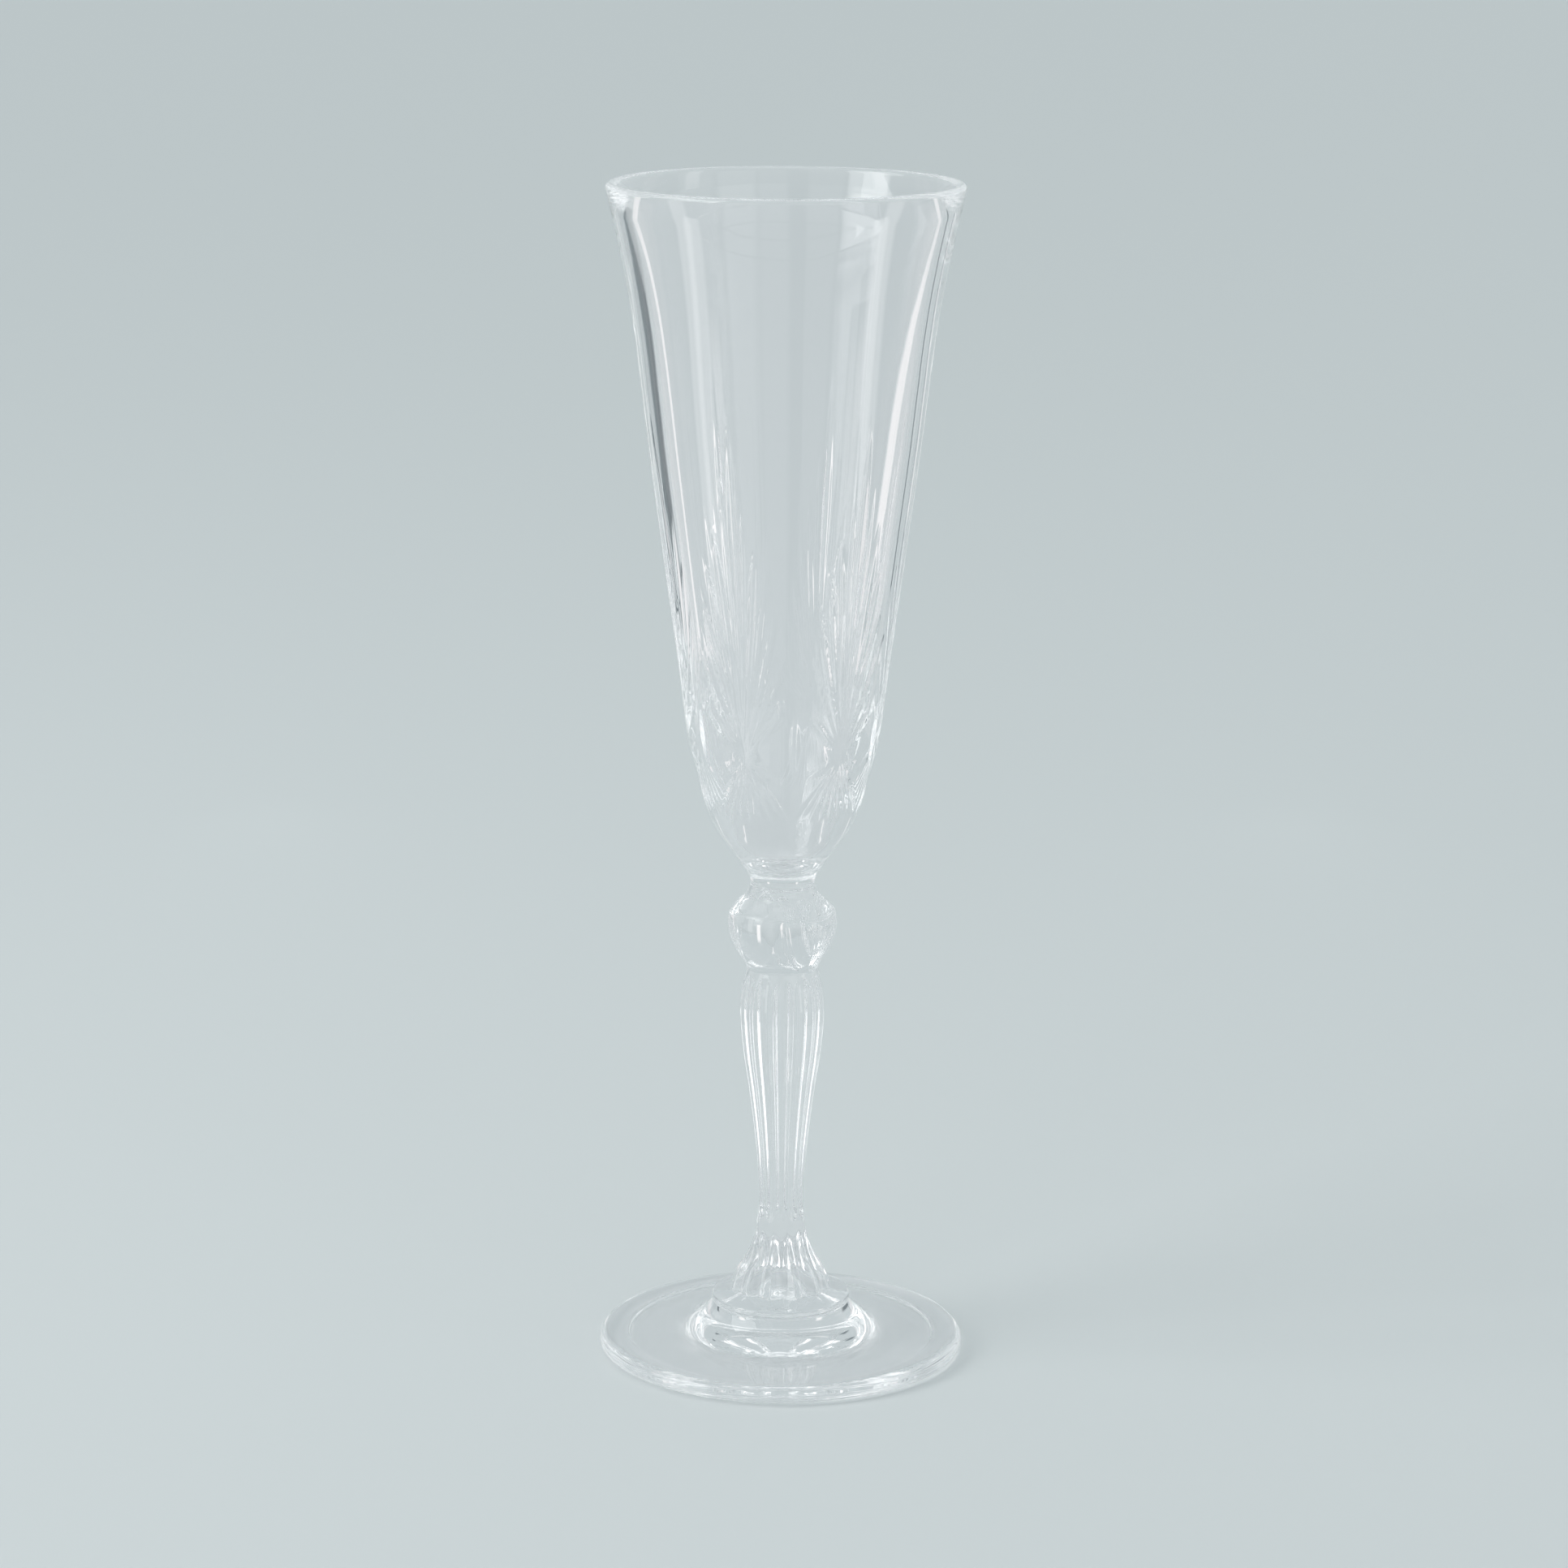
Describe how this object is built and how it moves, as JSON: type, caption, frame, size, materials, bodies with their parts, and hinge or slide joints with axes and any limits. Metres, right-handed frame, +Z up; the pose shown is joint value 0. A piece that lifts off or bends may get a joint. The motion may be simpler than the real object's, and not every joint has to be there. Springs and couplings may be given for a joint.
{
  "type": "champagne flute",
  "caption": "Tall clear crystal champagne flute with a conical cut bowl, a round knop, a fluted baluster stem and a flat round foot.",
  "frame": {"origin": "centre of the flat ring under the foot, on the table surface", "axes": "+Z up along the glass's axis towards the rim; +X to the right and -Y towards the viewer"},
  "size_m": [0.0674, 0.0674, 0.216],
  "materials": {
    "bowl_glass": "clear pressed crystal glass, fire-polished, with crisp cut fans on its lower half",
    "collar_glass": "clear pressed crystal glass, smooth",
    "knop_glass": "clear pressed crystal glass with hollow flutes and cut fans",
    "stem_glass": "clear pressed crystal glass with hollow flutes",
    "boss_glass": "clear pressed crystal glass, smooth",
    "foot_glass": "clear pressed crystal glass, smooth with a rounded edge"
  },
  "bodies": {
    "root": {"bowl": "bowl_glass", "collar": "collar_glass", "knop": "knop_glass", "stem": "stem_glass", "boss": "boss_glass", "foot": "foot_glass"}
  },
  "joints": []
}
